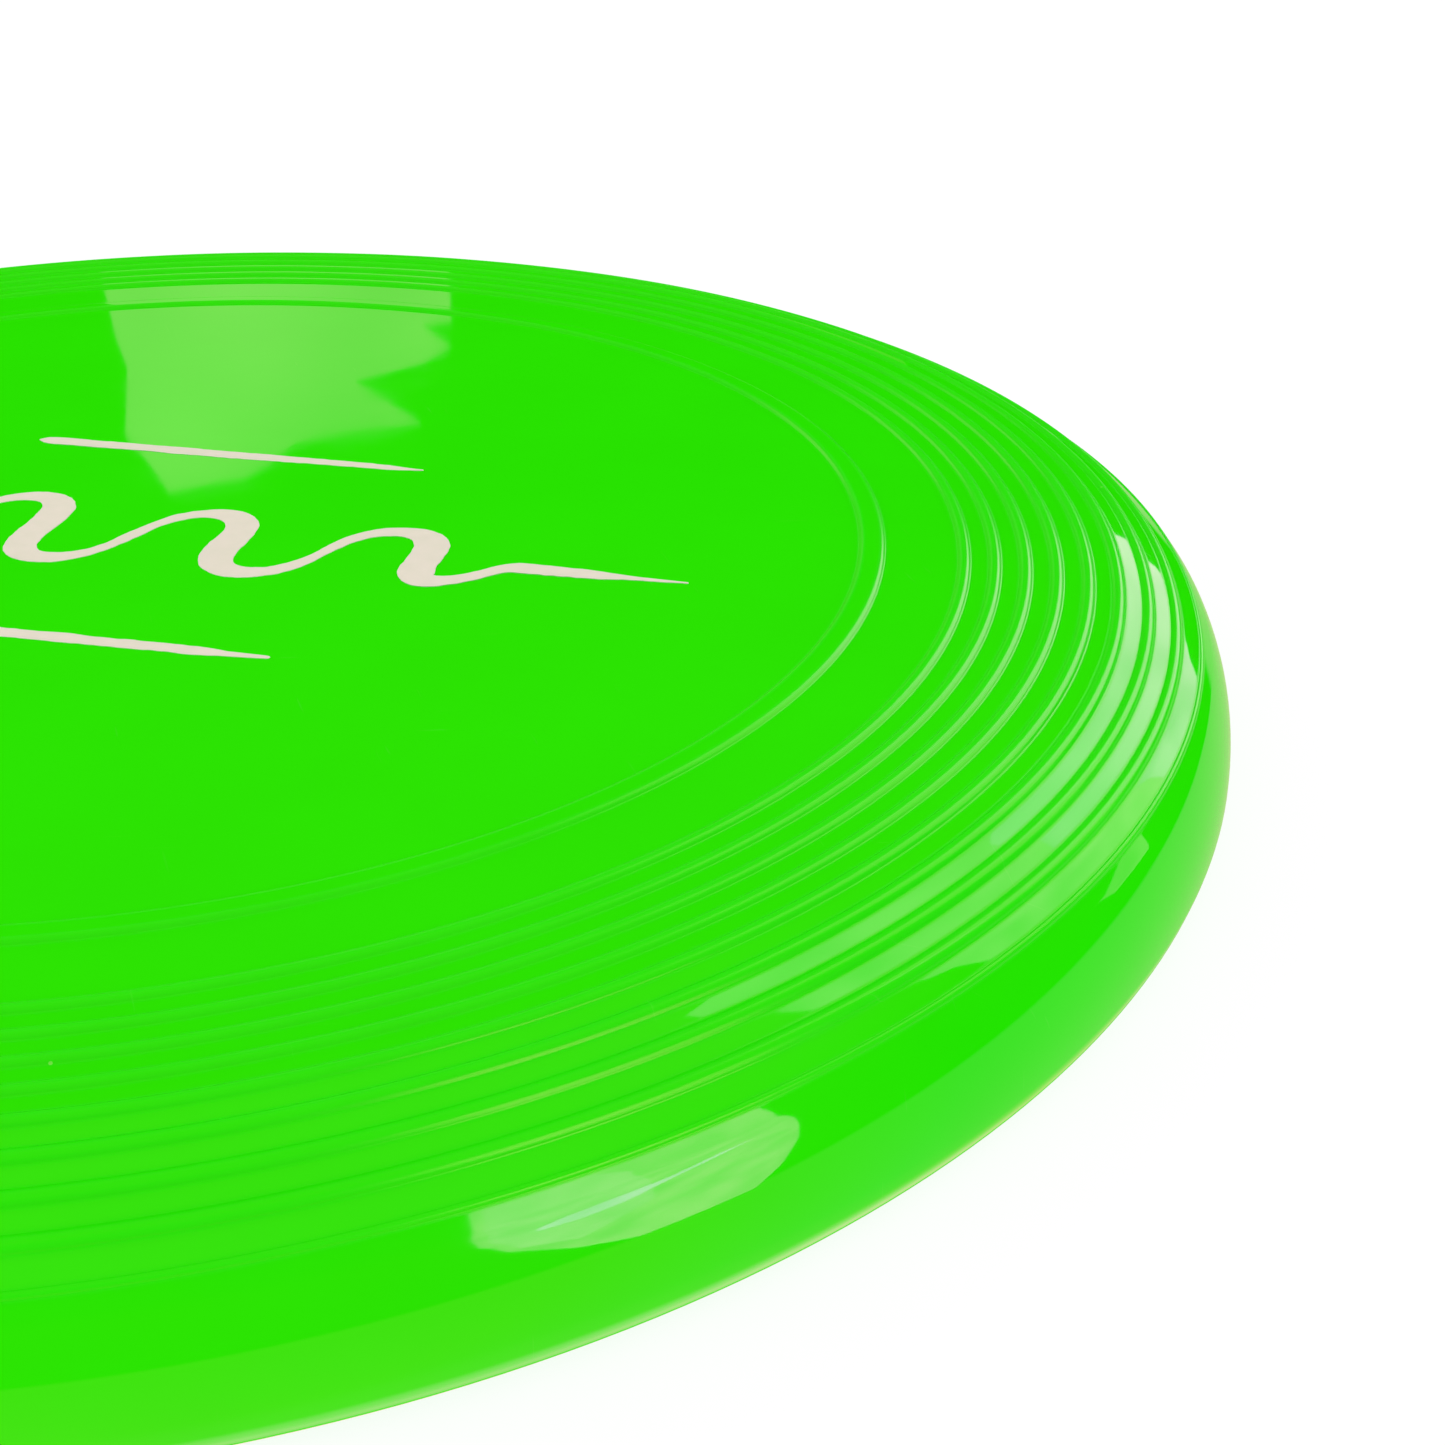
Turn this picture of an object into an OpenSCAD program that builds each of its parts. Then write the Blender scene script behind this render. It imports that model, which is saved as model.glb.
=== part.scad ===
// Printed flying disc: one moulded plastic disc with three areas of ink on its top.
//
// The top is a flat plate with one wide raised ring round the print, then a set of narrow
// raised flight ridges that carry on over the shoulder, then a smooth side and a round lip.
//
// Millimetres. The origin is the centre of the plane that the lip rests on, +Z is up through
// the middle of the plate, and +X runs along the printed lines.

/* [Disc] */
// Outside diameter, at the widest part of the rim
disc_d = 230; // [210:1:280]
// Height of the flat plate's top above the plane that the lip rests on
plate_h = 17.7; // [16.5:0.1:20]
// Wall thickness of the plate
plate_t = 1.6; // [1.2:0.1:2]
// Wall thickness of the rim's side
rim_t = 2.2; // [2:0.1:3]

/* [Shoulder] */
// Radius of the gentle curve at the plate's edge
upper_r = 23; // [20:0.5:25]
// Slope at which the gentle curve ends
upper_end = 33; // [28:1:38]
// Radius of the tighter curve at the corner
corner_r = 8.5; // [7:0.5:9]
// Slope at which the corner ends and the side begins
corner_end = 62; // [56:1:68]
// Radius of the side, which ends upright at the widest part
side_r = 17; // [14:0.5:18]

/* [Lip] */
// Width of the thick lip, across its section
lip_w = 4.4; // [4:0.1:5]
// Height over which the thick lip blends into the side's wall, above the widest part
lip_blend = 4.1; // [3:0.1:5]
// Radius of the lip's inner edge
lip_inner_r = 1; // [0.6:0.1:1.2]

/* [Ridges] */
// Distance from the disc's outside in to the middle of the wide ring round the print
ring_in = 37; // [35.5:0.5:42]
// Width of the flat on the wide ring
ring_flat = 1.4; // [1:0.1:2]
// Distance from the disc's outside in to the middle of the innermost flight ridge
ridge_in = 27.6; // [27:0.1:31]
// Number of flight ridges
ridge_count = 9; // [3:1:9]
// Distance from one ridge to the next, along the surface
ridge_pitch = 3.1; // [2.6:0.1:3.1]
// Radius of a ridge's round top
crown_r = 0.8; // [0.5:0.1:0.8]
// Radius of the hollow where a ridge meets the surface
foot_r = 0.25; // [0.15:0.05:0.3]
// Slope of a ridge's sides
flank = 50; // [30:5:55]
// Size of the outermost flight ridge, as a share of the others' size
last_ridge_size = 0.45; // [0.3:0.05:1]

/* [Moulding marks] */
// Diameter of the stub left by the moulding gate, under the middle of the plate
gate_d = 3.2; // [2:0.1:5]
// Height of the gate stub
gate_h = 0.5; // [0.2:0.1:1]
// Diameter of each ejector pin mark on the underside
ejector_d = 7; // [4:0.5:9]
// Depth of the ejector pin marks
ejector_depth = 0.15; // [0.05:0.05:0.3]
// Number of ejector pin marks
ejector_count = 6; // [3:1:8]
// Radius of the circle of ejector pin marks
ejector_r = 62; // [30:1:68]

/* [Print] */
// Thickness of the ink
ink_t = 0.05; // [0.03:0.01:0.2]
// Length of the straight brush lines above and below the wave
line_l = 50; // [30:1:80]
// Width of the brush lines where they are thickest
line_w = 2.1; // [1:0.1:3]
// Distance from the middle of the disc up to the upper line
line_upper_y = 20.6; // [18:0.2:30]
// Distance from the middle of the disc down to the lower line
line_lower_y = 27.1; // [18:0.2:32]
// Length of the wave
wave_l = 122; // [80:1:130]
// Number of crests in the wave
wave_crests = 5; // [3:1:6]
// Height of the first crest, from the wave's middle line
wave_a = 9; // [4:0.5:9]
// Width of the brush where the wave is thickest
wave_w = 3.6; // [2:0.1:4]

/* [Hidden] */

// Angle between neighbouring points on the arcs of the section
arc_step = 5;
// Distance between neighbouring points along the plain part of the side
side_step = 0.5;
// Facets round the disc
round_fn = 360;
// Overlap that joins the gate stub to the plate, and clears the pin marks' mouths
overlap = 0.2;
// Slope by which the wall has reached the rim's thickness
rim_t_slope = 70;
// Least width of the flat that the lip rests on
lip_flat = 0.4;

// Middle of the wave, across the disc, and how far its crests lean along +X
wave_y = -3;
wave_lean = 0.2;
// How much the crests are widened, as a share of the distance between crests
crest_round = 0.045;
// Shares of the wave's length that are its round start and its tapering tail
wave_start = 0.02;
wave_tail = 0.14;
// The same shares of a straight line, and the share of its width that it loses on the way
line_start = 0.05;
line_tail = 0.12;
line_thinning = 0.3;
// Width of the ink at a tip, and how bluntly a tail tapers: 1 is straight, less is blunter
tip_w = 0.3;
tail_bluntness = 0.6;
// Share of the wave's length over which the last crest dies away into the tail
wave_fade = 0.07;
// Share of the brush's full width on the strokes that rise
rising_share = 0.4;
// Height that the last crest keeps of the first one's
last_crest_share = 0.6;
// Points along a brush stroke
wave_steps = 240;
line_steps = 60;
// Middle of the upper and the lower line, along the disc
line_upper_x = 4.5;
line_lower_x = 1.5;

disc_r = disc_d / 2;
// Radii of the wide ring and of the innermost flight ridge, to their middles
ring_r = disc_r - ring_in;
ridge_first_r = disc_r - ridge_in;
// How far the three arcs of the shoulder reach out and drop
upper_out = upper_r * sin(upper_end);
upper_drop = upper_r * (1 - cos(upper_end));
corner_out = corner_r * (sin(corner_end) - sin(upper_end));
corner_drop = corner_r * (cos(upper_end) - cos(corner_end));
side_out = side_r * (1 - sin(corner_end));
side_drop = side_r * cos(corner_end);
// Radius at which the flat plate ends, and height of the widest part
flat_r = disc_r - upper_out - corner_out - side_out;
widest_h = plate_h - upper_drop - corner_drop - side_drop;
// Radius of the lip's outer edge
lip_outer_r = min(widest_h, lip_w - lip_inner_r - lip_flat);

// Distances along the surface from the centre to the end of each stretch
upper_s = flat_r + upper_r * upper_end * PI / 180;
corner_s = upper_s + corner_r * (corner_end - upper_end) * PI / 180;
side_s = corner_s + side_r * (90 - corner_end) * PI / 180;

// Slope of the surface at a distance s along it from the centre
function slope(s) =
    s < flat_r ? 0
    : s < upper_s ? (s - flat_r) / upper_r * 180 / PI
    : s < corner_s ? upper_end + (s - upper_s) / corner_r * 180 / PI
    : corner_end + (s - corner_s) / side_r * 180 / PI;

// Point on an arc that starts at slope a0 in point p, when its slope has become a
function on_arc(p, r, a0, a) = p + r * [sin(a) - sin(a0), cos(a) - cos(a0)];

// Point of the smooth surface, as [radius, height], at a distance s along it
function skin(s) =
    let (a = slope(s))
    let (p1 = [flat_r, plate_h])
    let (p2 = p1 + [upper_out, -upper_drop])
    let (p3 = p2 + [corner_out, -corner_drop])
    s < flat_r ? [s, plate_h]
    : s < upper_s ? on_arc(p1, upper_r, 0, a)
    : s < corner_s ? on_arc(p2, corner_r, upper_end, a)
    : on_arc(p3, side_r, corner_end, a);

// Point at a height h above the smooth surface
function above(s, h) = skin(s) + h * [sin(slope(s)), cos(slope(s))];

// Soft step from 0 to 1 as x goes from 0 to 1
function soft(x) = let (t = min(max(x, 0), 1)) t * t * (3 - 2 * t);

// Wall thickness: thin in the plate, thicker in the side, and full width in the lip
function wall(s) =
    let (side_t = plate_t + (rim_t - plate_t) * soft(slope(s) / rim_t_slope))
    let (height = skin(s)[1])
    side_t + (lip_w - side_t) * soft((widest_h + lip_blend - height) / lip_blend);

// Half width and height of a ridge, from the arcs of its crown and its feet
ridge_half = (crown_r + foot_r) * sin(flank);
ridge_h = (crown_r + foot_r) * (1 - cos(flank));

// Section of a ridge, as [distance from its middle, height], with a flat on top if flat > 0
function ridge(flat) = concat(
    [for (a = [0 : arc_step : flank - arc_step])
        [foot_r * sin(a) - ridge_half - flat / 2, foot_r * (1 - cos(a))]],
    [for (a = [-flank : arc_step : flank])
        [crown_r * sin(a) + sign(a) * flat / 2, ridge_h - crown_r * (1 - cos(a))]],
    [for (a = [flank - arc_step : -arc_step : 0])
        [ridge_half + flat / 2 - foot_r * sin(a), foot_r * (1 - cos(a))]]);

// A ridge laid on the surface at a size, with its middle at a distance s from the centre
function laid(s, flat, size) =
    [for (p = ridge(flat)) above(s + size * p[0], size * p[1])];

// A flight ridge and the middle of the plain land that follows it
function flight_ridge(s, size) = concat(laid(s, 0, size), [skin(s + ridge_pitch / 2)]);

last_ridge_s = ridge_first_r + (ridge_count - 1) * ridge_pitch;
plain_s = last_ridge_s + ridge_pitch / 2;

// Outer skin from the centre out to the widest part
outer_skin = concat(
    [[0, plate_h]],
    laid(ring_r, ring_flat, 1),
    [for (k = [0 : ridge_count - 2]) each flight_ridge(ridge_first_r + k * ridge_pitch, 1)],
    flight_ridge(last_ridge_s, last_ridge_size),
    [for (s = [plain_s + side_step : side_step : side_s - side_step / 2]) skin(s)]);

// Underside of the lip, from its outer edge to its inner edge
lip_centre = disc_r - lip_outer_r;
lip_inner_centre = disc_r - lip_w + lip_inner_r;
lip = concat(
    [[disc_r, widest_h]],
    [for (a = [arc_step : arc_step : 90])
        [lip_centre + lip_outer_r * cos(a), lip_outer_r * (1 - sin(a))]],
    [for (a = [90 : arc_step : 180])
        [lip_inner_centre + lip_inner_r * cos(a), lip_inner_r * (1 - sin(a))]]);

// Inner skin from the lip back to the centre
inner_skin = concat(
    [for (s = [side_s : -side_step : flat_r]) above(s, -wall(s))],
    [[0, plate_h - plate_t]]);

module disc() {
    color("#26e301")
    difference() {
        union() {
            rotate_extrude($fn = round_fn) polygon(concat(outer_skin, lip, inner_skin));
            translate([0, 0, plate_h - plate_t - gate_h])
                cylinder(d = gate_d, h = gate_h + overlap, $fn = 48);
        }
        for (k = [0 : ejector_count - 1])
            rotate([0, 0, k * 360 / ejector_count])
            translate([ejector_r, 0, plate_h - plate_t - overlap])
                cylinder(d = ejector_d, h = overlap + ejector_depth, $fn = 48);
    }
}

// Ink from a list of [point on the middle line, unit direction, width] along a stroke
module ink(stroke) {
    left = [for (q = stroke) q[0] + q[2] / 2 * [-q[1][1], q[1][0]]];
    right = [for (i = [len(stroke) - 1 : -1 : 0])
        let (q = stroke[i]) q[0] - q[2] / 2 * [-q[1][1], q[1][0]]];
    color("#ecddd3")
    translate([0, 0, plate_h])
        linear_extrude(ink_t) polygon(concat(left, right));
}

// Width of a brush stroke at a share t of its length: a round start and a tapering tail
function brush(t, w, start, tail) =
    tip_w + (w - tip_w)
        * (t < start ? sqrt(1 - pow(1 - t / start, 2)) : 1)
        * (t > 1 - tail ? pow((1 - t) / tail, tail_bluntness) : 1);

// Middle line of the wave: leaning crests that get lower, then a level tail
function wave_point(t) =
    let (turn = 360 * wave_crests * t / (1 - wave_tail))
    let (fade = soft((1 - wave_tail - t) / wave_fade))
    let (y = wave_a * (1 - (1 - last_crest_share) * t) * sin(turn) * fade)
    let (widen = crest_round * wave_l / wave_crests * sin(2 * turn) * fade)
    [wave_l * (t - 0.5) - widen + wave_lean * y, wave_y + y];

function unit(v) = v / norm(v);

module print_wave() {
    dt = 1 / wave_steps;
    ink([for (i = [0 : wave_steps])
        let (t = i * dt)
        let (along = unit(wave_point(t + dt / 2) - wave_point(t - dt / 2)))
        let (share = rising_share + (1 - rising_share) * (1 - along[1]) / 2)
        [wave_point(t), along, brush(t, wave_w * share, wave_start, wave_tail)]]);
}

// A straight brush line along X, with its middle at a point
module brush_line(middle) {
    ink([for (i = [0 : line_steps])
        let (t = i / line_steps)
        let (w = line_w * (1 - line_thinning * t))
        [middle + [line_l * (t - 0.5), 0], [1, 0], brush(t, w, line_start, line_tail)]]);
}

module print_upper_line() {
    brush_line([line_upper_x, line_upper_y]);
}

module print_lower_line() {
    brush_line([line_lower_x, -line_lower_y]);
}

disc();
print_wave();
print_upper_line();
print_lower_line();
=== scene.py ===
"""A printed flying disc lying on a white floor, in soft studio light.

The moulded disc is turned again here, finely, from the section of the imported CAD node, with the
slight swell of a cooled plate and the witness line of its mould. The three areas of ink follow
the outlines of their CAD nodes, with rough edges and dry-brush tails.
Metres, +Z up, +X along the print.
"""

import math

import bpy
import numpy as np
from mathutils import Matrix, Vector
from mathutils.geometry import delaunay_2d_cdt


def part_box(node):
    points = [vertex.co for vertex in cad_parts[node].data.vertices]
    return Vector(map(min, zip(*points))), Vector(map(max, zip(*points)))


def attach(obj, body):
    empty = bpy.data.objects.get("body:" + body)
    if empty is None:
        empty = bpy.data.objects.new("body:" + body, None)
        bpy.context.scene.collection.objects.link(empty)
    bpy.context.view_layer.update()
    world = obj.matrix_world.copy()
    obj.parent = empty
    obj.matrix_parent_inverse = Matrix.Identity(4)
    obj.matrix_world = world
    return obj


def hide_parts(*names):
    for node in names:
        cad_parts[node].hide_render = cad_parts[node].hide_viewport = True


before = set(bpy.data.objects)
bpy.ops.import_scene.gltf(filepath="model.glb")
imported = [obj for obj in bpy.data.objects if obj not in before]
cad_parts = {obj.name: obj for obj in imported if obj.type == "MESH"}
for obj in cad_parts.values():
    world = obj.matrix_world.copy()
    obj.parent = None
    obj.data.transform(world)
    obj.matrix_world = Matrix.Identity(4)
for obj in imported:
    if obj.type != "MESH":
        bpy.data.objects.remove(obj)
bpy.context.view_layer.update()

MM = 0.001
DISC_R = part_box("disc")[1].x
PLATE_Z, INK_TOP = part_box("print_wave")[0].z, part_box("print_wave")[1].z

# Where the camera stands, seen from the middle of the disc, and which way it looks
CAMERA_AZIMUTH, CAMERA_ELEVATION = -62.15, 25.94
CAMERA_DISTANCE = 2.0878 * DISC_R
LOOK_AZIMUTH, LOOK_ELEVATION, LOOK_ROLL = 101.01, -28.19, 0.36
CAMERA_LENS, CAMERA_SENSOR = 52.98, 36.0  # millimetres
CAMERA_NEAR, CAMERA_FAR = 0.01, 50


def toward(azimuth, elevation):
    """Unit vector at an azimuth from +X and an elevation, both in degrees."""
    a, e = math.radians(azimuth), math.radians(elevation)
    return Vector((math.cos(a) * math.cos(e), math.sin(a) * math.cos(e), math.sin(e)))


def soft_step(x):
    """0 below 0, 1 above 1, and a smooth change in between."""
    t = np.clip(x, 0, 1)
    return t * t * (3 - 2 * t)


def new_piece(name, verts, faces, corner_normals, creases=()):
    """A smooth-shaded mesh object with its own normal at each corner, and its sharp edges."""
    mesh = bpy.data.meshes.new(name)
    mesh.from_pydata(verts, [], faces)
    mesh.polygons.foreach_set("use_smooth", [True] * len(mesh.polygons))
    sharp = {frozenset(pair) for pair in creases}
    for edge in mesh.edges if sharp else ():
        edge.use_edge_sharp = frozenset(edge.vertices) in sharp
    mesh.normals_split_custom_set(corner_normals)
    obj = bpy.data.objects.new(name, mesh)
    bpy.context.scene.collection.objects.link(obj)
    return obj


# ---------------------------------------------------------------- the disc's section

RING_VERTS = 100  # a circle of the turned disc has at least this many vertices in the CAD mesh
SAME_POINT = 8e-6  # section points closer than this are one point
# How far the thinned section may leave the full one: on the outside, on the inside, and in the
# difference between two unit normals
OUTSIDE_TOLERANCE, INSIDE_TOLERANCE, LEAN_TOLERANCE = 0.007 * MM, 0.03 * MM, 0.15


def section_points(mesh):
    """The circles that the CAD disc is turned from, as (radius, height), and which ones touch."""
    co = np.zeros(len(mesh.vertices) * 3)
    mesh.vertices.foreach_get("co", co)
    co = co.reshape(-1, 3)
    rz = np.stack([np.hypot(co[:, 0], co[:, 1]), co[:, 2]], 1)
    _, first, group, count = np.unique(
        np.round(rz, 6), axis=0, return_index=True, return_inverse=True, return_counts=True
    )
    group = group.ravel()
    merged, points = {}, []
    for g in range(len(count)):
        p = rz[first[g]]
        near = [k for k, q in enumerate(points) if np.hypot(*(q[0] - p)) < SAME_POINT]
        if near:
            points[near[0]][1] += count[g]
            merged[g] = near[0]
        else:
            merged[g] = len(points)
            points.append([p, count[g]])
    where = np.array([merged[g] for g in range(len(count))])[group]
    edges = np.zeros(len(mesh.edges) * 2, int)
    mesh.edges.foreach_get("vertices", edges)
    touching = {}
    for a, b in np.unique(where[edges.reshape(-1, 2)], axis=0):
        if a != b and min(points[a][1], points[b][1]) >= RING_VERTS:
            touching.setdefault(int(a), set()).add(int(b))
            touching.setdefault(int(b), set()).add(int(a))
    return [tuple(p) for p, _ in points], touching


def section_walk(mesh):
    """The section from the plate's top, out over the shoulder, round the lip and back inside."""
    points, touching = section_points(mesh)
    on_top = [k for k in touching if abs(points[k][1] - PLATE_Z) < SAME_POINT]
    here = min(on_top, key=lambda k: points[k][0])
    walk = [here]
    while True:
        onward = [k for k in touching[here] if k not in walk]
        if not onward:
            return np.array([points[k] for k in walk])
        here = min(onward, key=lambda k: math.dist(points[k], points[here]))
        walk.append(here)


def section_normals(walk):
    """Outward normal at each point: a long stretch counts for more than a short one beside it."""
    along = np.diff(walk, axis=0)
    across = np.stack([-along[:, 1], along[:, 0]], 1)
    total = np.zeros_like(walk)
    total[:-1] += across
    total[1:] += across
    return total / np.linalg.norm(total, axis=1)[:, None]


def thinned(walk, normals, tolerance):
    """Indices of the points that keep the section and its normals within their tolerances."""
    along = np.append(0, np.cumsum(np.hypot(*np.diff(walk, axis=0).T)))
    keep, todo = {0, len(walk) - 1}, [(0, len(walk) - 1)]
    while todo:
        a, b = todo.pop()
        if b - a < 2:
            continue
        share = ((along[a + 1 : b] - along[a]) / (along[b] - along[a]))[:, None]
        chord, offset = walk[b] - walk[a], walk[a + 1 : b] - walk[a]
        off = np.abs(chord[0] * offset[:, 1] - chord[1] * offset[:, 0]) / np.hypot(*chord)
        lean = np.hypot(*(normals[a] + share * (normals[b] - normals[a]) - normals[a + 1 : b]).T)
        error = np.maximum(off / tolerance[a + 1 : b], lean / LEAN_TOLERANCE)
        far = int(np.argmax(error))
        if error[far] > 1:
            middle = a + 1 + far
            keep.add(middle)
            todo += [(a, middle), (middle, b)]
    return sorted(keep)


# ---------------------------------------------------------------- the disc

TURN_STEPS = 320
PLATE_RING_STEP = 3 * MM
# Witness line of the mould's parting, on the lower outer edge of the lip: height, half width and
# thickness, how far the section's own points are cleared away from it, its shape in shares of
# half width and thickness, and the share of the disc's radius that is outside
WITNESS_Z, WITNESS_HALF, WITNESS_H = 1.35 * MM, 0.16 * MM, 0.07 * MM
WITNESS_CLEAR = 1.2 * WITNESS_HALF
WITNESS_SHAPE = [(-1, 0), (-0.55, 0.35), (-0.2, 1), (0.2, 1), (0.55, 0.35), (1, 0)]
OUTSIDE_SHARE = 0.97
# Slow swell of the plate, as it cools unevenly: number of waves, wavelengths and total height
SWELL_WAVES, SWELL_SHORT, SWELL_LONG = 9, 24 * MM, 70 * MM
SWELL_H, SWELL_SEED = 0.035 * MM, 3
# The ridges are less polished than the surface between them. A point is on a ridge where the
# section leans this much more or less, in degrees, than it does over the reach around the point,
# and for a narrow edge beyond that. The section is scanned in fine steps.
RIDGE_LEAN, RIDGE_REACH, RIDGE_EDGE, RIDGE_SCAN = 8, 2 * MM, 0.15 * MM, 0.05 * MM
RIDGES_ABOVE = 8 * MM
SURFACE_STEP = 0.2 * MM  # widest gap between section points near the ridges
# Moulding marks on the underside, as in the CAD node
GATE_R, GATE_H = 1.6 * MM, 0.5 * MM
PIN_R, PIN_DEPTH, PIN_CIRCLE_R, PIN_COUNT = 3.5 * MM, 0.15 * MM, 62 * MM, 6
MARK_STEPS = 48
MERGE = 1e-7  # points of the flat underside closer than this are one point

swell_rng = np.random.default_rng(SWELL_SEED)
swell_length = SWELL_SHORT * (SWELL_LONG / SWELL_SHORT) ** swell_rng.random(SWELL_WAVES)
swell_angle = 2 * math.pi * swell_rng.random(SWELL_WAVES)
swell_phase = 2 * math.pi * swell_rng.random(SWELL_WAVES)
swell_way = np.stack([np.cos(swell_angle), np.sin(swell_angle)], 1)
swell_k = 2 * math.pi / swell_length[:, None] * swell_way
swell_a = SWELL_H * swell_length / swell_length.sum()


def swell(xy):
    """Height of the plate's swell at points, and its slope along X and Y."""
    turn = xy @ swell_k.T + swell_phase
    return np.sin(turn) @ swell_a, (np.cos(turn) * swell_a) @ swell_k


def with_witness(walk):
    """The section with a fine raised line on the outside of the lip."""
    low = walk[:, 1] < WITNESS_Z + WITNESS_HALF
    outside = np.nonzero(low & (walk[:, 0] > DISC_R * OUTSIDE_SHARE))[0]
    middle = outside[np.argmin(np.abs(walk[outside, 1] - WITNESS_Z) - walk[outside, 0])]
    near = np.linalg.norm(walk - walk[middle], axis=1) < WITNESS_CLEAR
    along = walk[middle + 1] - walk[middle - 1]
    along /= np.hypot(*along)
    out = np.array([-along[1], along[0]])
    line = [walk[middle] + a * WITNESS_HALF * along + h * WITNESS_H * out for a, h in WITNESS_SHAPE]
    before, after = walk[:middle][~near[:middle]], walk[middle + 1 :][~near[middle + 1 :]]
    return np.concatenate([before, line, after])


def with_steps(walk, normals):
    """The section and its normals with points added, so that none are far apart near the ridges."""
    points, leans = [walk[0]], [normals[0]]
    for i in range(len(walk) - 1):
        gap = np.hypot(*(walk[i + 1] - walk[i]))
        count = int(gap / SURFACE_STEP) if walk[i + 1, 1] > RIDGES_ABOVE else 0
        shares = [(k + 1) / (count + 1) for k in range(count)] + [1]
        points += [walk[i] + s * (walk[i + 1] - walk[i]) for s in shares]
        leans += [normals[i] + s * (normals[i + 1] - normals[i]) for s in shares]
    leans = np.array(leans)
    return np.array(points), leans / np.linalg.norm(leans, axis=1)[:, None]


def on_ridges(walk, normals):
    """1 for each section point that is on a ridge, and 0 for the others."""
    along = np.append(0, np.cumsum(np.hypot(*np.diff(walk, axis=0).T)))
    fine = np.arange(0, along[-1], RIDGE_SCAN)
    lean = np.interp(fine, along, np.degrees(np.unwrap(np.arctan2(normals[:, 0], normals[:, 1]))))
    reach, edge = round(RIDGE_REACH / RIDGE_SCAN), round(RIDGE_EDGE / RIDGE_SCAN)
    padded = np.pad(lean, reach, mode="edge")
    around = np.lib.stride_tricks.sliding_window_view(padded, 2 * reach + 1)
    steep = np.abs(lean - np.median(around, axis=1)) > RIDGE_LEAN
    steep &= np.interp(fine, along, walk[:, 1]) > RIDGES_ABOVE
    ridge = np.convolve(steep, np.ones(2 * edge + 1), "same") > 0
    return np.interp(along, fine, ridge.astype(float))


def circle(radius, steps, centre=(0.0, 0.0)):
    """Points of a circle, anticlockwise."""
    return [
        (
            centre[0] + radius * math.cos(2 * math.pi * k / steps),
            centre[1] + radius * math.sin(2 * math.pi * k / steps),
        )
        for k in range(steps)
    ]


def disc_rings():
    """Rings of the turned disc, from the plate out and round to the inside.

    Returns their radii and heights, their normals, and which are on ridges.
    """
    walk = section_walk(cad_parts["disc"].data)
    flat = np.arange(PLATE_RING_STEP, walk[0][0] - PLATE_RING_STEP / 2, PLATE_RING_STEP)
    plate = [(r, PLATE_Z) for r in flat]
    walk = with_witness(np.concatenate([plate, walk]))
    walk, normals = with_steps(walk, section_normals(walk))
    ridges = on_ridges(walk, normals)
    changes = np.nonzero(np.abs(np.diff(ridges)) > 0)[0]
    inside = np.arange(len(walk)) > np.argmin(walk[:, 1])
    tolerance = np.where(inside, INSIDE_TOLERANCE, OUTSIDE_TOLERANCE)
    shown = set(thinned(walk, normals, tolerance)) | set(range(len(plate)))
    kept = sorted(shown | set(changes) | set(changes + 1))
    return walk[kept], normals[kept], ridges[kept]


def build_disc():
    """The whole moulded disc as one closed mesh."""
    rings, ring_normals, ridges = disc_rings()
    turn = 2 * math.pi * np.arange(TURN_STEPS) / TURN_STEPS
    spokes = np.stack([np.cos(turn), np.sin(turn)], 1)
    xy = (rings[:, 0, None, None] * spokes).reshape(-1, 2)
    z = np.repeat(rings[:, 1], TURN_STEPS)
    normals = np.concatenate(
        [
            (ring_normals[:, 0, None, None] * spokes).reshape(-1, 2),
            np.repeat(ring_normals[:, 1], TURN_STEPS)[:, None],
        ],
        axis=1,
    )
    # The whole wall swells, and the swell dies away down the side
    lift, slope = swell(xy)
    share = soft_step(z / PLATE_Z)
    z = z + lift * share
    normals[:, :2] -= slope * (share * np.abs(normals[:, 2]))[:, None]
    normals /= np.linalg.norm(normals, axis=1)[:, None]

    verts = [tuple(v) for v in np.column_stack([xy, z])]
    normals = [tuple(n) for n in normals]
    faces, corners = [], []

    def add(face, face_normals):
        faces.append(face)
        corners.extend(face_normals)

    centre = len(verts)
    lift, slope = swell(np.zeros((1, 2)))
    verts.append((0, 0, PLATE_Z + lift[0]))
    up = tuple(Vector((-slope[0][0], -slope[0][1], 1)).normalized())
    for j in range(TURN_STEPS):
        k = (j + 1) % TURN_STEPS
        add((centre, j, k), (up, normals[j], normals[k]))
    for i in range(len(rings) - 1):
        for j in range(TURN_STEPS):
            k = (j + 1) % TURN_STEPS
            quad = (
                i * TURN_STEPS + j,
                (i + 1) * TURN_STEPS + j,
                (i + 1) * TURN_STEPS + k,
                i * TURN_STEPS + k,
            )
            add(quad, [normals[v] for v in quad])

    last = (len(rings) - 1) * TURN_STEPS
    creases = underside(verts, add, last, rings[-1][1])
    disc = new_piece("disc_moulding", verts, faces, corners, creases)
    satin = np.zeros(len(verts))
    satin[: len(ridges) * TURN_STEPS] = np.repeat(ridges, TURN_STEPS)
    disc.data.attributes.new("satin", "FLOAT", "POINT").data.foreach_set("value", satin)
    return disc


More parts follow.
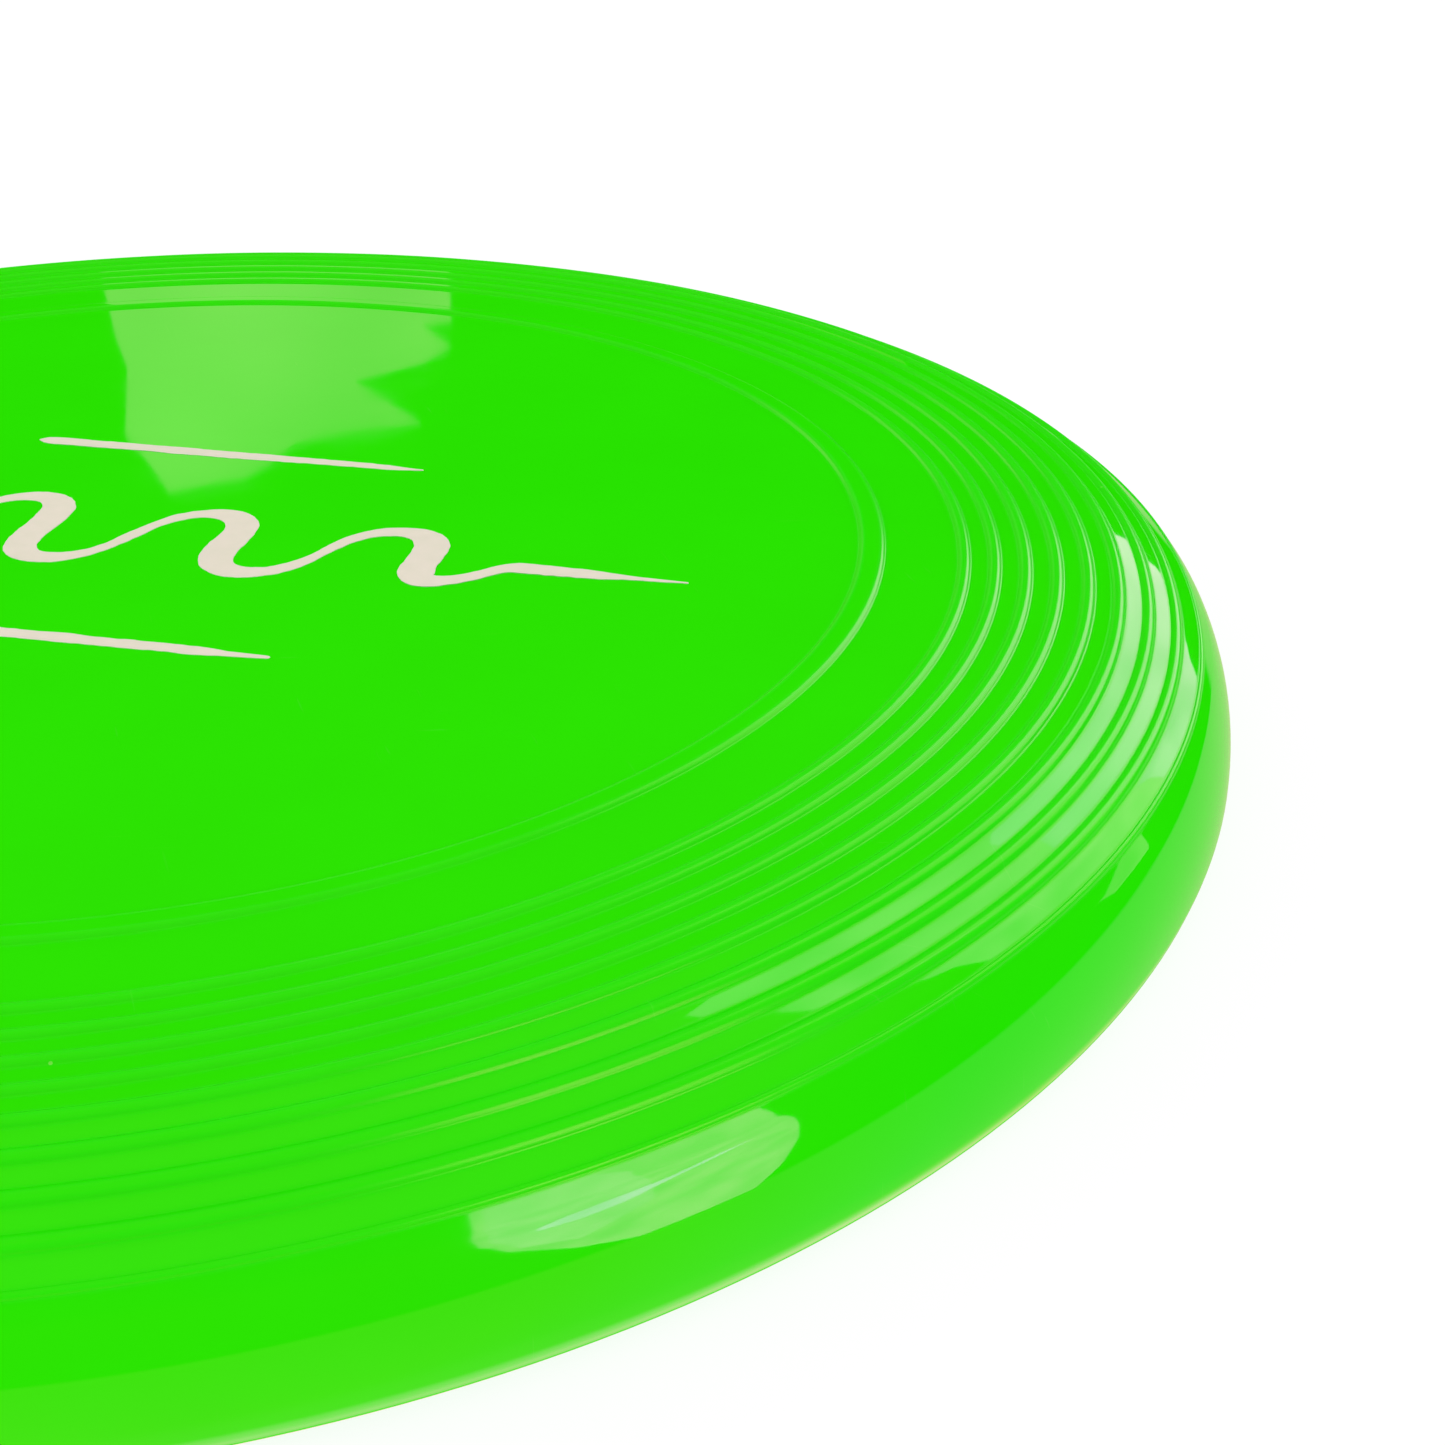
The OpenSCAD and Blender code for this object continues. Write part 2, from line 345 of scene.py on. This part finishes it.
def underside(verts, add, last, z0):
    """Closes the turned wall with the flat underside, its gate stub and its ejector pin marks.

    Returns the sharp edges of the stub and the marks.
    """
    marks = [(GATE_R, -GATE_H, (0.0, 0.0))]
    for k in range(PIN_COUNT):
        a = 2 * math.pi * k / PIN_COUNT
        marks.append((PIN_R, PIN_DEPTH, (PIN_CIRCLE_R * math.cos(a), PIN_CIRCLE_R * math.sin(a))))
    flat = [verts[last + j][:2] for j in range(TURN_STEPS)]
    loops = [list(range(TURN_STEPS))]
    for radius, _, middle in marks:
        loops.append(list(range(len(flat), len(flat) + MARK_STEPS)))
        flat += circle(radius, MARK_STEPS, middle)
    edges = [(a, b) for loop in loops for a, b in zip(loop, loop[1:] + loop[:1])]
    cut = delaunay_2d_cdt([Vector(p) for p in flat], edges, [], 1, MERGE)
    points, triangles, origin = cut[0], cut[2], cut[3]

    place = {}

    def vertex(k):
        if k not in place:
            known = [o for o in origin[k] if o < TURN_STEPS]
            if known:
                place[k] = last + known[0]
            else:
                place[k] = len(verts)
                lift = swell(np.array([points[k]]))[0][0]
                verts.append((points[k][0], points[k][1], z0 + lift))
        return place[k]

    down, flush = (0.0, 0.0, -1.0), {o: k for k in range(len(points)) for o in origin[k]}
    for triangle in triangles:
        middle = sum((points[k] for k in triangle), Vector((0, 0))) / 3
        if all((middle - Vector(centre)).length > radius for radius, _, centre in marks):
            order = list(reversed(triangle))
            add([vertex(k) for k in order], [down] * 3)
    creases = []
    for loop, (radius, height, centre) in zip(loops[1:], marks):
        rim = [vertex(flush[k]) for k in loop]
        floor = []
        for v in rim:
            floor.append(len(verts))
            verts.append((verts[v][0], verts[v][1], verts[v][2] + height))
        for j in range(MARK_STEPS):
            k = (j + 1) % MARK_STEPS
            creases += [(rim[j], rim[k]), (floor[j], floor[k])]
            wall = []
            for v in (j, k):
                x, y = verts[rim[v]][0] - centre[0], verts[rim[v]][1] - centre[1]
                side = math.copysign(1 / radius, -height)
                wall.append((x * side, y * side, 0.0))
            if height > 0:
                add([rim[j], rim[k], floor[k], floor[j]], [wall[0], wall[1], wall[1], wall[0]])
            else:
                add([rim[k], rim[j], floor[j], floor[k]], [wall[1], wall[0], wall[0], wall[1]])
        add(list(reversed(floor)), [down] * MARK_STEPS)
    return creases


# ---------------------------------------------------------------- the ink

INK_SEEDS = {"print_wave": 5, "print_upper_line": 15, "print_lower_line": 25}
INK_GRID, INK_MARGIN = 0.22 * MM, 4  # the margin is in grid cells
# How far the ink's edge wanders and over what length, coarsely and finely
EDGE_WANDER, EDGE_LENGTH = 0.13 * MM, 3.2 * MM
FINE_WANDER, FINE_LENGTH = EDGE_WANDER / 2, EDGE_LENGTH / 4
# How it breaks up into dry-brush streaks towards a stroke's end
TAIL_LENGTH, STREAK_LENGTH, STREAK_WIDTH = 12 * MM, 13 * MM, 0.5 * MM
STREAK_DEPTH = 1.5 * MM
NOISE_CELLS = 64  # the noise repeats after this many cells
CAD_DIGITS = 7  # decimals, in metres, to which the vertices of a CAD node are told apart


def outline_edges(mesh, z):
    """Edges of the outline of a CAD node's flat top, as an array of pairs of points."""
    uses = {}
    for face in mesh.polygons:
        corners = [tuple(round(c, CAD_DIGITS) for c in mesh.vertices[v].co) for v in face.vertices]
        if all(abs(c[2] - z) < SAME_POINT for c in corners):
            for a, b in zip(corners, corners[1:] + corners[:1]):
                uses.setdefault(frozenset((a[:2], b[:2])), []).append((a[:2], b[:2]))
    return np.array([pairs[0] for pairs in uses.values() if len(pairs) == 1])


def depth_inside(points, edges):
    """Distance of each point from an outline, above zero inside it."""
    a, b = edges[:, 0], edges[:, 1]
    along = b - a
    nearest = np.full(len(points), np.inf)
    inside = np.zeros(len(points), bool)
    for start, step, end in zip(a, along, b):
        share = np.clip((points - start) @ step / (step @ step), 0, 1)
        gap = points - start - share[:, None] * step
        nearest = np.minimum(nearest, np.hypot(gap[:, 0], gap[:, 1]))
        crosses = (start[1] > points[:, 1]) != (end[1] > points[:, 1])
        with np.errstate(divide="ignore", invalid="ignore"):
            at = start[0] + (points[:, 1] - start[1]) * step[0] / step[1]
        inside ^= crosses & (points[:, 0] < at)
    return np.where(inside, nearest, -nearest)


def value_noise(points, sizes, seed):
    """Smooth noise from -1 to 1 over cells of the given sizes along X and Y."""
    rng = np.random.default_rng(seed)
    table = rng.random((NOISE_CELLS, NOISE_CELLS)) * 2 - 1
    cell = points / np.array(sizes)
    base = np.floor(cell).astype(int)
    t = soft_step(cell - base)
    i, j = base[:, 0] % NOISE_CELLS, base[:, 1] % NOISE_CELLS
    i1, j1 = (i + 1) % NOISE_CELLS, (j + 1) % NOISE_CELLS
    low = table[i, j] * (1 - t[:, 0]) + table[i1, j] * t[:, 0]
    high = table[i, j1] * (1 - t[:, 0]) + table[i1, j1] * t[:, 0]
    return low * (1 - t[:, 1]) + high * t[:, 1]


def cut_sheet(field):
    """The part of a grid where the field is above zero, cut along its zero line."""
    index, places, faces = {}, [], []

    def vertex(key, place):
        if key not in index:
            index[key] = len(places)
            places.append(place)
        return index[key]

    columns, rows = field.shape
    for i in range(columns - 1):
        for j in range(rows - 1):
            cell = [(i, j), (i + 1, j), (i + 1, j + 1), (i, j + 1)]
            value = [field[c] for c in cell]
            if max(value) <= 0:
                continue
            face = []
            for k in range(4):
                a, b = cell[k], cell[(k + 1) % 4]
                va, vb = value[k], value[(k + 1) % 4]
                if va > 0:
                    face.append(vertex(a, a))
                if (va > 0) != (vb > 0):
                    share = va / (va - vb)
                    place = (a[0] + share * (b[0] - a[0]), a[1] + share * (b[1] - a[1]))
                    face.append(vertex((min(a, b), max(a, b)), place))
            faces.append(face)
    return np.array(places), faces


def build_ink(node, name, seed):
    """One area of ink: its CAD node's outline with a wandering edge, broken up at the tail."""
    edges = outline_edges(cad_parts[node].data, INK_TOP)
    low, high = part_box(node)
    origin = np.array(low[:2]) - INK_MARGIN * INK_GRID
    columns, rows = (int((high[k] - low[k]) / INK_GRID) + 2 * INK_MARGIN + 2 for k in (0, 1))
    grid = np.stack(np.meshgrid(np.arange(columns), np.arange(rows), indexing="ij"), -1)
    points = origin + grid.reshape(-1, 2) * INK_GRID
    field = depth_inside(points, edges)
    field += EDGE_WANDER * value_noise(points, (EDGE_LENGTH, EDGE_LENGTH), seed)
    field += FINE_WANDER * value_noise(points, (FINE_LENGTH, FINE_LENGTH), seed + 1)
    tail = soft_step(1 - (high.x - points[:, 0]) / TAIL_LENGTH)
    streak = value_noise(points, (STREAK_LENGTH, STREAK_WIDTH), seed + 2)
    field -= STREAK_DEPTH * tail * np.clip(streak, 0, 1)
    places, sheet = cut_sheet(field.reshape(columns, rows))
    return ink_solid(name, origin + places * INK_GRID, sheet)


def ink_solid(name, xy, sheet):
    """A thin closed layer of ink on the plate, from its faces seen from above."""
    lift, slope = swell(xy)
    count = len(xy)
    verts = [(p[0], p[1], INK_TOP + h) for p, h in zip(xy, lift)]
    verts += [(p[0], p[1], PLATE_Z + h) for p, h in zip(xy, lift)]
    up = [tuple(Vector((-s[0], -s[1], 1)).normalized()) for s in slope]
    faces, corners, creases, uses = [], [], [], {}
    for face in sheet:
        faces.append(face)
        corners += [up[v] for v in face]
        faces.append([v + count for v in reversed(face)])
        corners += [(0, 0, -1)] * len(face)
        for a, b in zip(face, face[1:] + face[:1]):
            uses.setdefault(frozenset((a, b)), []).append((a, b))
    for pairs in uses.values():
        if len(pairs) == 1:
            a, b = pairs[0]
            faces.append([b, a, a + count, b + count])
            creases += [(a, b), (a + count, b + count)]
            out = Vector((xy[b][1] - xy[a][1], xy[a][0] - xy[b][0], 0)).normalized()
            corners += [tuple(out)] * 4
    return new_piece(name, verts, faces, corners, creases)


# ---------------------------------------------------------------- materials

# Colours are linear, and noise scales are per millimetre
GREEN = (0.016, 0.775, 0.0004)
INK_COLOUR = (0.84, 0.723, 0.651)
# The ridges' duller polish: what it adds to the roughness, and the level and tint it leaves
SATIN, SATIN_LEVEL, SATIN_TINT = 0.17, 0.28, (1.0, 0.9, 0.4, 1.0)
# Flow marks in the plastic
FLOW_SCALE, FLOW_DARK, FLOW_LIGHT = 0.05, 0.985, 1.01
# Dust specks: how close together, what share of places has none, radius, colour and strength
SPECK_SCALE, SPECK_NONE, SPECK_SIZE = 0.14, 0.55, 0.024
SPECK_COLOUR, SPECK_SHARE = (0.45, 0.86, 0.18, 1), 0.35
# Hairline scratches: directions, stretch, the noise they start and are full at, the patches they
# are in, their colour and strength, and what they add to the roughness and take off the relief
SCRATCH_TURNS, SCRATCH_STRETCH = (17, -58), (7, 0.35, 7)
SCRATCH_FROM, SCRATCH_FULL = 0.785, 0.8
PATCH_SCALE, PATCH_FROM, PATCH_FULL = 0.03, 0.52, 0.62
SCRATCH_COLOUR, SCRATCH_SHARE = (0.3, 0.86, 0.15, 1), 0.05
SCRATCH_ROUGH, SCRATCH_DEEP = 0.06, 0.06
# Uneven gloss, and the fine relief of the plastic
GLOSS_SCALE, GLOSS_LOW, GLOSS_HIGH = 0.11, 0.02, 0.045
PEEL_SCALE, PEEL_HIGH, RELIEF = 1.1, 0.12, 0.0025 * MM
PLASTIC_IOR = 1.5
# The ink's mottle, its pinholes and the grain of the printing mesh
MOTTLE_SCALE, MOTTLE_DARK, MOTTLE_LIGHT = 0.6, 0.97, 1.01
HOLE_SCALE, HOLE_NONE, HOLE_SIZE, HOLE_SHARE = 0.9, 0.9, 0.06, 0.55
GRAIN_SCALE, GRAIN_STRENGTH, GRAIN_RELIEF = 5.0, 0.4, 0.01 * MM
INK_SMOOTH, INK_ROUGH = 0.42, 0.55
# Most of a noise's values are in this range
NOISE_LOW, NOISE_HIGH = 0.3, 0.7


class Nodes:
    """Short forms for building a material's nodes."""

    def __init__(self, name):
        self.material = bpy.data.materials.new(name)
        self.material.use_nodes = True
        self.tree = self.material.node_tree
        self.shader = self.tree.nodes["Principled BSDF"]

    def add(self, kind, **settings):
        """A node of this kind. Settings are its own properties, or values or links of inputs."""
        node = self.tree.nodes.new("ShaderNode" + kind)
        for key, value in settings.items():
            if hasattr(node, key):
                setattr(node, key, value)
            else:
                self.feed(node.inputs[key.replace("_", " ")], value)
        return node

    def feed(self, socket, value):
        """Sets an input to a value, or links it to an output."""
        if isinstance(value, bpy.types.NodeSocket):
            self.tree.links.new(value, socket)
        else:
            socket.default_value = value

    def maths(self, operation, *values):
        """Output of a Math node."""
        node = self.add("Math", operation=operation)
        for socket, value in zip(node.inputs, values):
            self.feed(socket, value)
        return node.outputs[0]

    def span(self, value, low, high, to_low=0.0, to_high=1.0):
        """A value carried from one range to another, held at both ends."""
        node = self.add("MapRange", Value=value)
        ends = {"From Min": low, "From Max": high, "To Min": to_low, "To Max": to_high}
        for name, number in ends.items():
            node.inputs[name].default_value = number
        return node.outputs["Result"]

    def millimetres(self, stretch=(1, 1, 1), turn=0.0):
        """Position on the object in millimetres, turned about Z and then stretched."""
        place = self.add("TexCoord").outputs["Object"]
        mapping = self.add("Mapping", vector_type="TEXTURE", Vector=place)
        mapping.inputs["Rotation"].default_value = (0, 0, math.radians(turn))
        mapping.inputs["Scale"].default_value = [s * MM for s in stretch]
        return mapping.outputs[0]

    def noise(self, vector, scale, detail=2.0, roughness=0.5):
        """Noise whose features are about 1 / scale millimetres wide."""
        node = self.add("TexNoise", Vector=vector, Scale=scale, Detail=detail, Roughness=roughness)
        return node.outputs[0]

    def dots(self, vector, scale, none, size):
        """1 on scattered dots, up to a size, and 0 elsewhere. A share of the places has none."""
        cells = self.add("TexVoronoi", Vector=vector, Scale=scale)
        chance = self.add("SeparateColor", Color=cells.outputs["Color"]).outputs[0]
        radius = self.span(chance, none, 1.0, 0.0, size)
        return self.maths("LESS_THAN", cells.outputs["Distance"], radius)

    def mix(self, share, a, b):
        """Colour a turning into colour b."""
        node = self.add("Mix", data_type="RGBA")
        self.feed(node.inputs[0], share)
        self.feed(node.inputs[6], a)
        self.feed(node.inputs[7], b)
        return node.outputs[2]


def grown(colour, factor):
    """A colour with its brightness changed, as RGBA."""
    return tuple(c * factor for c in colour) + (1.0,)


def hairlines(nodes, turn):
    """Fine straight scratches in one direction: 1 on a scratch, 0 elsewhere."""
    band = nodes.noise(nodes.millimetres(stretch=SCRATCH_STRETCH, turn=turn), 1.0, 1.0)
    return nodes.span(band, SCRATCH_FROM, SCRATCH_FULL)


def plastic():
    """Glossy moulded plastic: faint flow marks, dust specks, hairline scratches, uneven gloss."""
    n = Nodes("moulded_plastic")
    place = n.millimetres()

    flow = n.noise(place, FLOW_SCALE, 3.0, 0.6)
    colour = n.mix(n.span(flow, 0.35, 0.65), grown(GREEN, FLOW_DARK), grown(GREEN, FLOW_LIGHT))

    speck = n.dots(place, SPECK_SCALE, SPECK_NONE, SPECK_SIZE)
    colour = n.mix(n.maths("MULTIPLY", speck, SPECK_SHARE), colour, SPECK_COLOUR)

    scratch = n.maths("MAXIMUM", *(hairlines(n, turn) for turn in SCRATCH_TURNS))
    patch = n.span(n.noise(place, PATCH_SCALE, 1.0), PATCH_FROM, PATCH_FULL)
    scratch = n.maths("MULTIPLY", scratch, patch)
    colour = n.mix(n.maths("MULTIPLY", scratch, SCRATCH_SHARE), colour, SCRATCH_COLOUR)

    cloudy = n.noise(place, GLOSS_SCALE, 4.0, 0.55)
    rough = n.span(cloudy, NOISE_LOW, NOISE_HIGH, GLOSS_LOW, GLOSS_HIGH)
    rough = n.maths("ADD", rough, n.maths("MULTIPLY", scratch, SCRATCH_ROUGH))
    satin = n.add("Attribute", attribute_name="satin").outputs["Fac"]
    rough = n.maths("ADD", rough, n.maths("MULTIPLY", satin, SATIN))

    peel = n.maths("MULTIPLY", n.noise(place, PEEL_SCALE, 2.0), PEEL_HIGH)
    height = n.maths("SUBTRACT", peel, n.maths("MULTIPLY", scratch, SCRATCH_DEEP))
    bump = n.add("Bump", Strength=1.0, Distance=RELIEF, Height=height)

    shader = n.shader.inputs
    n.feed(shader["Base Color"], colour)
    n.feed(shader["Roughness"], rough)
    n.feed(shader["Specular IOR Level"], n.span(satin, 0, 1, 0.5, SATIN_LEVEL))
    n.feed(shader["Specular Tint"], n.mix(satin, (1.0, 1.0, 1.0, 1.0), SATIN_TINT))
    n.feed(shader["Normal"], bump.outputs[0])
    n.feed(shader["IOR"], PLASTIC_IOR)
    return n.material


def ink():
    """Matt screen-printed ink: a slight mottle, pinholes and a faint mesh grain."""
    n = Nodes("print_ink")
    place = n.millimetres()
    mottle = n.noise(place, MOTTLE_SCALE, 4.0, 0.6)
    share = n.span(mottle, NOISE_LOW, NOISE_HIGH)
    colour = n.mix(share, grown(INK_COLOUR, MOTTLE_DARK), grown(INK_COLOUR, MOTTLE_LIGHT))
    hole = n.dots(place, HOLE_SCALE, HOLE_NONE, HOLE_SIZE)
    colour = n.mix(n.maths("MULTIPLY", hole, HOLE_SHARE), colour, grown(GREEN, 1.0))
    grain = n.noise(place, GRAIN_SCALE, 2.0)
    bump = n.add("Bump", Strength=GRAIN_STRENGTH, Distance=GRAIN_RELIEF, Height=grain)
    n.feed(n.shader.inputs["Base Color"], colour)
    rough = n.span(mottle, NOISE_LOW, NOISE_HIGH, INK_SMOOTH, INK_ROUGH)
    n.feed(n.shader.inputs["Roughness"], rough)
    n.feed(n.shader.inputs["Normal"], bump.outputs[0])
    return n.material


# ---------------------------------------------------------------- the studio

FLOOR_R, FLOOR_STEPS = 3.0, 96
FLOOR_GAP = 0.02 * MM  # between the floor and the lip that rests on it
FLOOR_GLOW, FLOOR_WHITE = 0.88, 0.14  # its own light, and the share of other light it returns
WORLD_LIGHT = (1.0, 1.0, 1.0, 1.0)
# What the gloss mirrors of the room, as (elevation, colour): a pale table that is brightest close
# to the disc, then dark walls above the horizon, then a brighter ceiling
CEILING = [(40, (0.2, 0.72, 0.01)), (62, (0.55, 0.76, 0.1))]
ROOM = [
    (-60, (2.3, 1.0, 1.3)),
    (-47, (1.1, 0.8, 0.45)),
    (-36, (0.6, 0.72, 0.34)),
    (-6.6, (0.55, 0.72, 0.34)),
    (-5.4, (0.02, 0.7, 0.0)),
    (22, (0.05, 0.7, 0.0)),
] + CEILING
# The same, in the part of the room at this azimuth. It comes in between these two cosines of the
# angle from there.
ROOM_LEFT_AZIMUTH = -75
ROOM_LEFT_FROM, ROOM_LEFT_FULL = 0.15, 0.75
ROOM_LEFT = [
    (-60, (2.3, 1.0, 1.0)),
    (-47, (1.2, 0.7, 0.3)),
    (-36, (0.95, 0.66, 0.16)),
    (-6.6, (0.85, 0.66, 0.12)),
    (-5.4, (0.22, 0.64, 0.01)),
    (22, (0.25, 0.66, 0.01)),
] + CEILING
# Soft windows: outline as (azimuth, elevation) from the disc, colour, and distance. The bright
# parts are nearer than the windows behind them.
WINDOWS = {
    "right_window": (
        [
            (29, 20), (45, 15), (60, 8), (73, 8), (79, 14), (76.5, 24), (76.5, 50), (71, 60),
            (44, 58), (29, 44),
        ],
        (2.4, 1.5, 1.5),
        6.0,
    ),
    "right_window_bright": (
        [(50, 15), (60, 8), (73, 8), (79, 14), (76.5, 24), (76.5, 36), (66, 41), (52, 36)],
        (2.9, 1.5, 2.5),
        4.6,
    ),
    "small_window": ([(30, 5), (37, 4), (39, 12), (29, 12)], (1.2, 1.0, 0.7), 6.0),
    "front_window": (
        [
            (-29, -6), (-18, -7), (-15.3, -2.5), (-12.9, 5), (-12, 11), (-9.5, 30), (-10, 34),
            (-20.5, 36.3), (-27, 37.7), (-39, 39.5), (-41, 28), (-42, 22), (-42, 15), (-40, 8),
            (-34.5, -0.5),
        ],
        (4.6, 1.5, 2.8),
        6.0,
    ),
    "front_window_bright": (
        [
            (-34, 3), (-27, 8), (-24, 34), (-27, 36.5), (-38, 38.3), (-40, 28), (-41, 16), (-39, 8),
        ],
        (5.2, 1.6, 3.6),
        5.0,
    ),
    "front_window_streak": (
        [
            (-37, 13.5), (-33, 12), (-29, 12.5), (-25, 15), (-19, 17), (-16, 17.5), (-19, 18.2),
            (-25, 17), (-30, 17.5), (-34, 17), (-37, 15.3),
        ],
        (8.5, 2.4, 8.5),
        4.4,
    ),
    "back_wall": ([(92, -5), (134, -5), (134, 11), (92, 11)], (0.16, 0.7, 0.03), 6.2),
    "back_window": (
        [
            (117.8, 14), (108, 14), (108.3, 17.4), (109.1, 17.5), (108.3, 18.1), (109.1, 18.5),
            (111.1, 18.9), (110.2, 19.5), (109.2, 20.1), (111.4, 20.3), (112.9, 20.5),
            (113.7, 21.0), (114.4, 21.3), (116.6, 21.5), (117.2, 20.5), (117.6, 19.9),
            (117.3, 18.1), (117.5, 17.3),
        ],
        (0.72, 0.72, 0.36),
        6.0,
    ),
    "left_window": ([(128, 14), (146, 12), (146, 34), (128, 36)], (1.3, 0.9, 0.6), 6.0),
}
# A window's light is uneven: its darkest and brightest share, and the size of the patches
WINDOW_LOW, WINDOW_HIGH, WINDOW_PATCH = 0.8, 1.2, 0.55


def build_floor():
    """A pale floor that is clear from below."""
    rim = circle(FLOOR_R, FLOOR_STEPS)
    floor = new_piece(
        "floor",
        [(x, y, -FLOOR_GAP) for x, y in rim],
        [list(range(len(rim)))],
        [(0, 0, 1)] * len(rim),
    )
    n = Nodes("pale_floor")
    tree = n.tree
    n.shader.inputs["Base Color"].default_value = (FLOOR_WHITE,) * 3 + (1,)
    n.shader.inputs["Roughness"].default_value = 1.0
    n.shader.inputs["Specular IOR Level"].default_value = 0.0
    n.shader.inputs["Emission Color"].default_value = (1, 1, 1, 1)
    n.shader.inputs["Emission Strength"].default_value = FLOOR_GLOW
    clear = n.add("BsdfTransparent")
    sides = n.add("MixShader")
    n.feed(sides.inputs[0], n.add("NewGeometry").outputs["Backfacing"])
    tree.links.new(n.shader.outputs[0], sides.inputs[1])
    tree.links.new(clear.outputs[0], sides.inputs[2])
    tree.links.new(sides.outputs[0], tree.nodes["Material Output"].inputs[0])
    floor.data.materials.append(n.material)
    floor.visible_glossy = False


def room_colour(tree, height, stops):
    """Output of a colour ramp over the height of a direction, from stops at elevations."""
    node = tree.nodes.new("ShaderNodeValToRGB")
    ramp = node.color_ramp
    while len(ramp.elements) < len(stops):
        ramp.elements.new(0.5)
    for element, (elevation, colour) in zip(ramp.elements, stops):
        element.position = (1 + math.sin(math.radians(elevation))) / 2
        element.color = (*colour, 1)
    tree.links.new(height, node.inputs[0])
    return node.outputs["Color"]


def build_world():
    """Even white light, and another, warmer room for the gloss to mirror."""
    world = bpy.data.worlds.new("studio")
    bpy.context.scene.world = world
    world.use_nodes = True
    tree = world.node_tree

    def joined(kind, *links, **settings):
        node = tree.nodes.new("ShaderNode" + kind)
        for key, value in settings.items():
            setattr(node, key, value)
        for source, target in links:
            tree.links.new(source, node.inputs[target])
        return node

    direction = tree.nodes.new("ShaderNodeTexCoord").outputs["Generated"]
    parts = joined("SeparateXYZ", (direction, 0))
    height = joined("MapRange", (parts.outputs["Z"], "Value"))
    height.inputs["From Min"].default_value = -1.0
    height = height.outputs["Result"]
    left = joined("VectorMath", (direction, 0), operation="DOT_PRODUCT")
    left.inputs[1].default_value = toward(ROOM_LEFT_AZIMUTH, 0)
    share = joined("MapRange", (left.outputs["Value"], "Value"))
    share.inputs["From Min"].default_value = ROOM_LEFT_FROM
    share.inputs["From Max"].default_value = ROOM_LEFT_FULL
    rooms = joined("Mix", (share.outputs["Result"], 0), data_type="RGBA")
    tree.links.new(room_colour(tree, height, ROOM), rooms.inputs[6])
    tree.links.new(room_colour(tree, height, ROOM_LEFT), rooms.inputs[7])
    path = tree.nodes.new("ShaderNodeLightPath")
    glossy = path.outputs["Is Glossy Ray"]
    pick = joined("Mix", (glossy, 0), (rooms.outputs[2], 7), data_type="RGBA")
    pick.inputs[6].default_value = WORLD_LIGHT
    tree.links.new(pick.outputs[2], tree.nodes["Background"].inputs["Color"])
    world.cycles.sampling_method = "NONE"


def build_window(name, outline, colour, distance):
    """A glowing card, far off, that only the gloss of the disc shows."""
    corners = [toward(a, e) * distance for a, e in outline]
    card = new_piece(name, corners, [list(range(len(corners)))], [(0, 0, 1)] * len(corners))
    n = Nodes(name + "_light")
    patches = n.noise(n.add("TexCoord").outputs["Object"], 1 / WINDOW_PATCH, 1.0)
    n.shader.inputs["Base Color"].default_value = (0, 0, 0, 1)
    n.shader.inputs["Emission Color"].default_value = (*colour, 1)
    glow = n.span(patches, NOISE_LOW, NOISE_HIGH, WINDOW_LOW, WINDOW_HIGH)
    n.feed(n.shader.inputs["Emission Strength"], glow)
    card.data.materials.append(n.material)
    card.visible_camera = False
    card.visible_diffuse = False
    card.visible_shadow = False


def build_camera():
    """The camera, at the picture's own place and angle."""
    ahead = toward(LOOK_AZIMUTH, LOOK_ELEVATION)
    level = ahead.cross(Vector((0, 0, 1))).normalized()
    lean = Matrix.Rotation(math.radians(LOOK_ROLL), 3, -ahead)
    right = lean @ level
    up = right.cross(ahead)
    data = bpy.data.cameras.new("camera")
    data.lens, data.sensor_width = CAMERA_LENS, CAMERA_SENSOR
    data.clip_start, data.clip_end = CAMERA_NEAR, CAMERA_FAR
    camera = bpy.data.objects.new("camera", data)
    place = toward(CAMERA_AZIMUTH, CAMERA_ELEVATION) * CAMERA_DISTANCE
    turn = Matrix((right, up, -ahead)).transposed()
    camera.matrix_world = Matrix.Translation(place) @ turn.to_4x4()
    bpy.context.scene.collection.objects.link(camera)
    bpy.context.scene.camera = camera


# ---------------------------------------------------------------- everything together

disc = build_disc()
disc.data.materials.append(plastic())
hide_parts("disc")
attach(disc, "root")

ink_material = ink()
for node, seed in INK_SEEDS.items():
    layer = build_ink(node, node.replace("print_", "ink_"), seed)
    layer.data.materials.append(ink_material)
    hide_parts(node)
    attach(layer, "root")

build_floor()
build_world()
for name, (outline, colour, distance) in WINDOWS.items():
    build_window(name, outline, colour, distance)
build_camera()

bpy.context.scene.view_settings.view_transform = "Standard"
